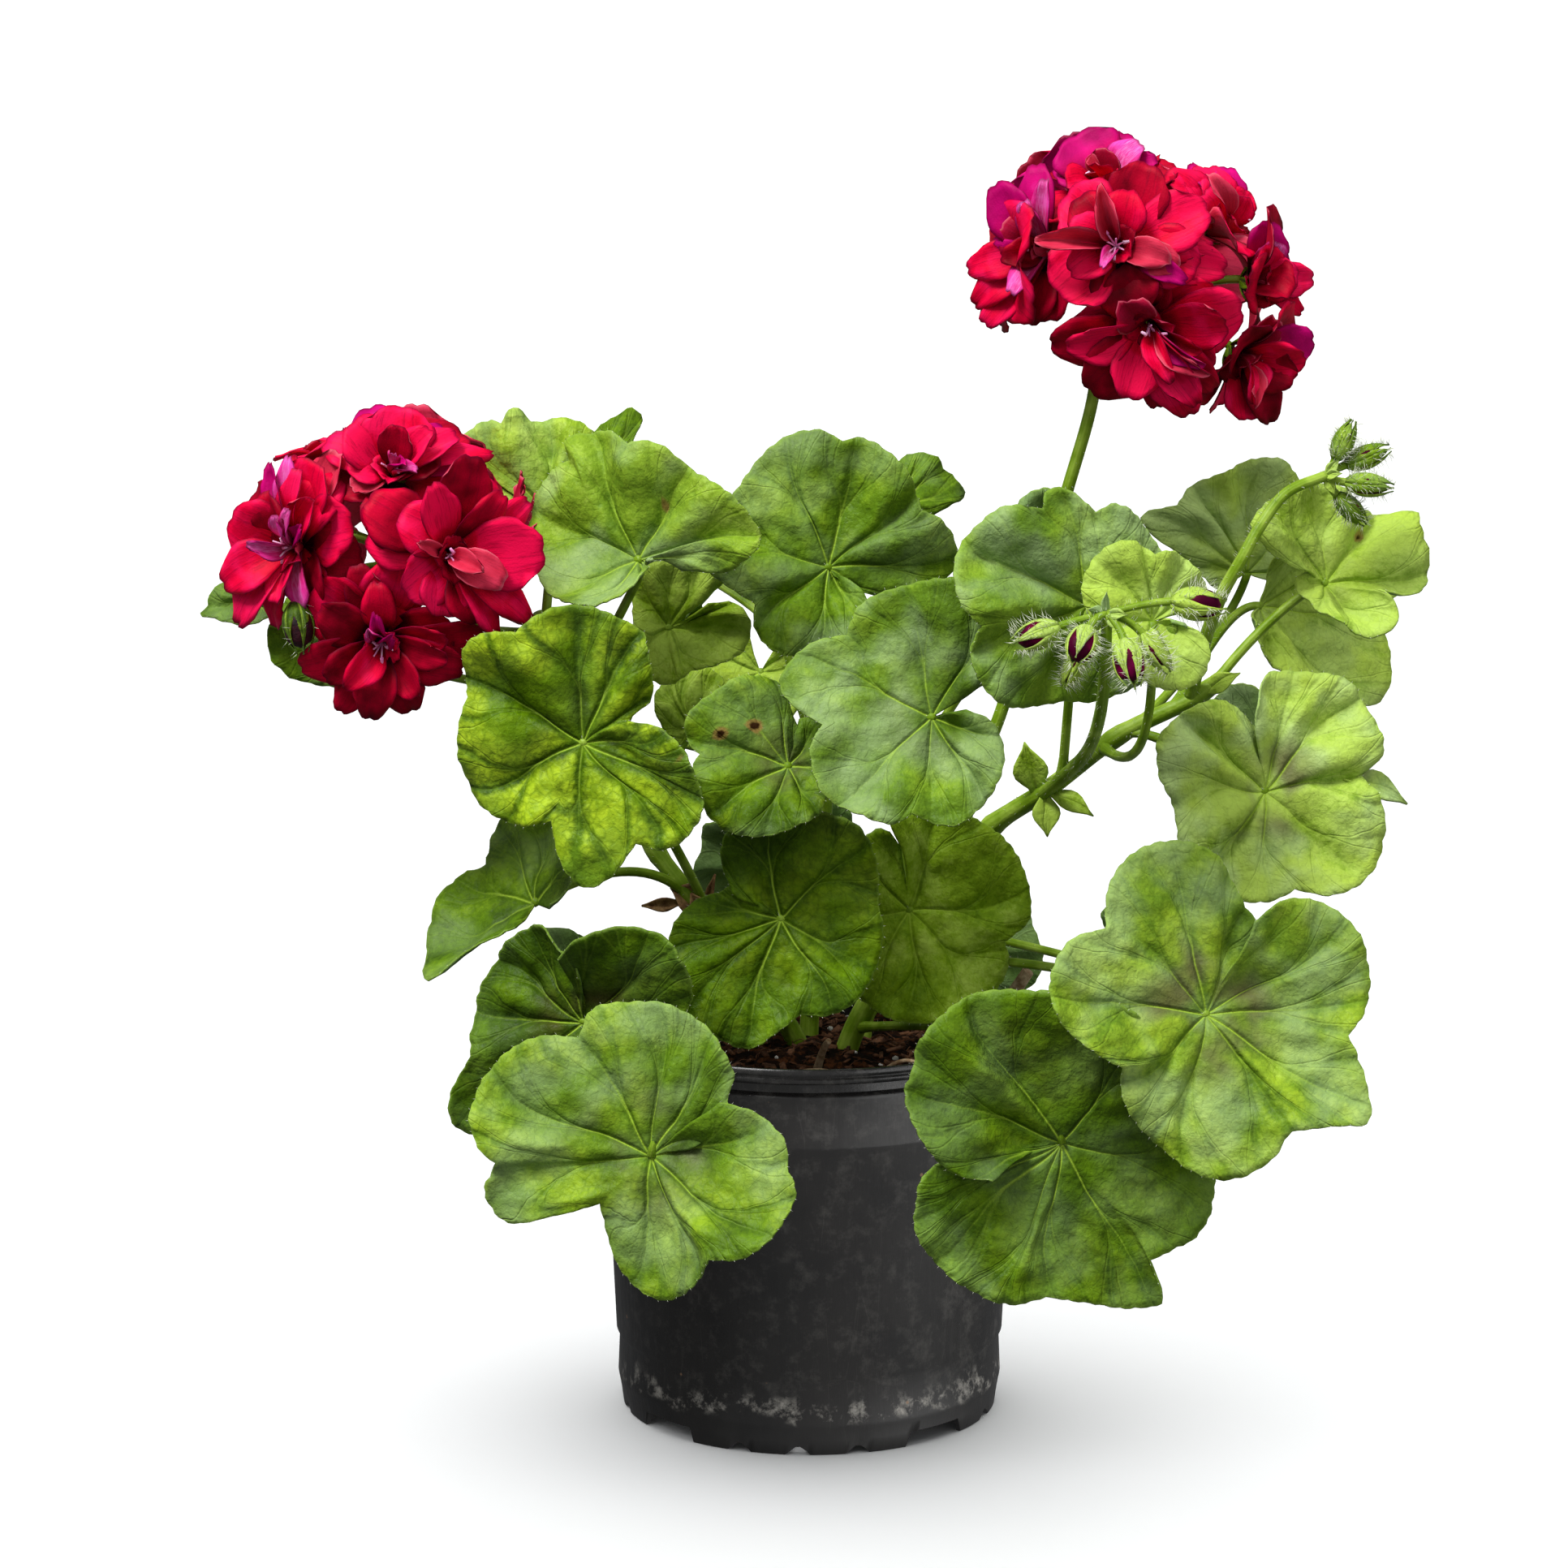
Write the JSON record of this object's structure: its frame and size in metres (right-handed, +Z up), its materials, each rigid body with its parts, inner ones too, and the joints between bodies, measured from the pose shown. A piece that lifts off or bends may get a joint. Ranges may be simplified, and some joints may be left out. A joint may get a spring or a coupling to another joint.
{
  "type": "potted ivy geranium",
  "caption": "Flowering ivy geranium in a round black nursery pot: round lobed leaves on long stalks, round heads of double crimson flowers and hairy buds.",
  "frame": {"origin": "centre of the pot's underside, on the surface that it stands on", "axes": "+Z up the pot's axis; -Y towards the viewer of the picture; +X to the viewer's right"},
  "size_m": [0.3357, 0.1872, 0.3504],
  "materials": {
    "pot": "black moulded polypropylene, satin, with fine scratches and chalky dust near the foot",
    "soil": "damp dark peat and coir with fibres and bark",
    "stem": "green, matt, with a pale fuzz",
    "leaf": "soft green leaf with pale veins, satin",
    "petal": "velvety crimson petals, darker at the heart, with magenta inner petals",
    "bud": "pale green sepals with long white hairs"
  },
  "bodies": {
    "root": {"pot": "pot", "soil": "soil", "stem_left": "stem", "stem_right": "stem", "stem_middle": "stem", "stem_back": "stem", "leaf_01": "leaf", "leaf_02": "leaf", "leaf_03": "leaf", "leaf_04": "leaf", "leaf_05": "leaf", "leaf_06": "leaf", "leaf_07": "leaf", "leaf_08": "leaf", "leaf_09": "leaf", "leaf_10": "leaf", "leaf_11": "leaf", "leaf_12": "leaf", "leaf_13": "leaf", "leaf_14": "leaf", "leaf_15": "leaf", "leaf_16": "leaf", "leaf_17": "leaf", "leaf_18": "leaf", "leaf_19": "leaf", "leaf_20": "leaf", "leaf_21": "leaf", "leaf_22": "leaf", "leaf_23": "leaf", "leaf_24": "leaf", "leaf_25": "leaf", "leaf_26": "leaf", "leaf_27": "leaf", "leaf_28": "leaf", "leaf_29": "leaf", "leaf_30": "leaf", "leaf_31": "leaf", "leaf_32": "leaf", "leaf_33": "leaf", "leaf_34": "leaf", "leaf_35": "leaf", "leaf_36": "leaf", "flower_stalk_left": "stem", "flower_head_left": "petal", "flower_stalk_right": "stem", "flower_head_right": "petal", "bud_cluster_front": "bud", "bud_cluster_top": "bud"}
  },
  "joints": []
}
